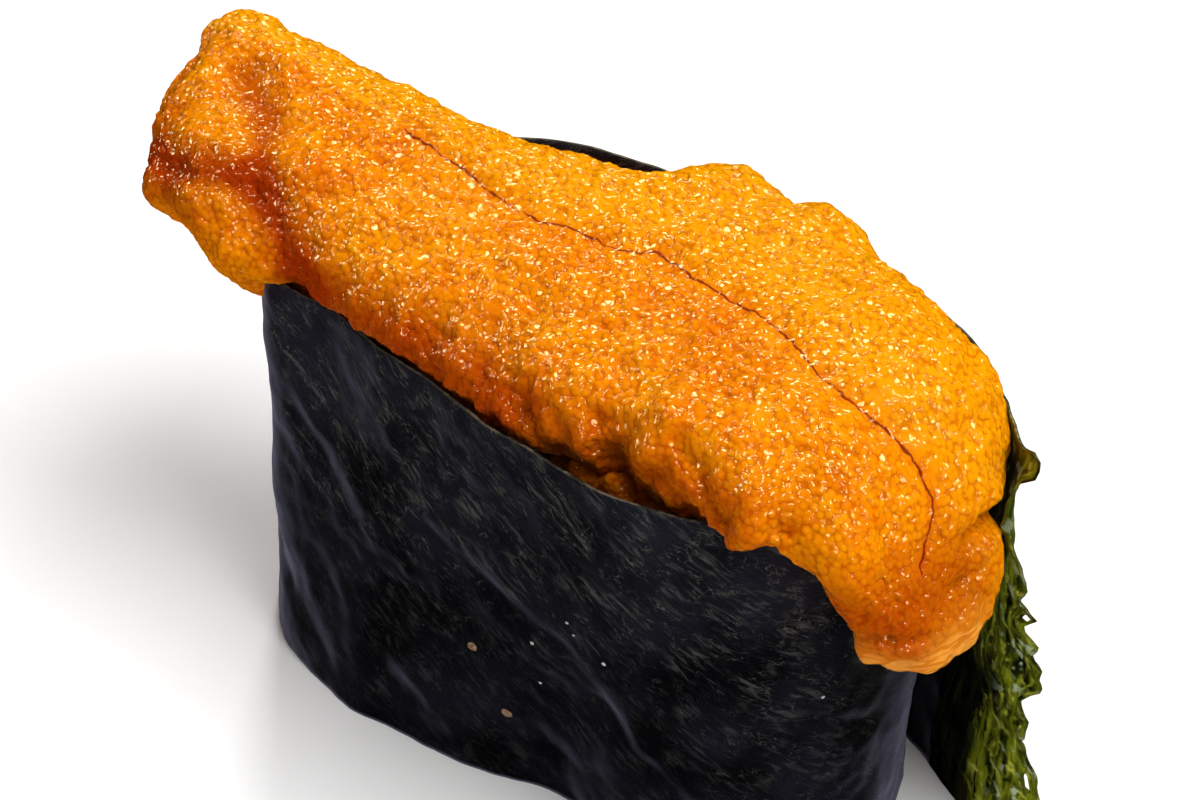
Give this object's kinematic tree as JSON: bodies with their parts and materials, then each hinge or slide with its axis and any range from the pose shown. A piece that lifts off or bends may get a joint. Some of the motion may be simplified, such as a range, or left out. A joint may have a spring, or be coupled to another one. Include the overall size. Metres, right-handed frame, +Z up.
{
  "type": "sea urchin sushi",
  "caption": "Gunkan sushi: a tall nori band with a flared end round a block of rice, topped with a long draped tongue of orange sea urchin roe.",
  "frame": {"origin": "on the surface that the rice rests on, under the middle of the nori band's oval, at the flat of the grain there", "axes": "+X along the band's length towards the end where the nori flares and the roe droops, +Y to the back, +Z up"},
  "size_m": [0.0733, 0.032, 0.0398],
  "materials": {
    "nori": "satin dried seaweed",
    "rice": "soft moist cooked rice",
    "roe": "wet granular roe"
  },
  "bodies": {
    "root": {"nori_band": "nori", "rice": "rice", "roe_lower": "roe", "roe_top": "roe"}
  },
  "joints": []
}
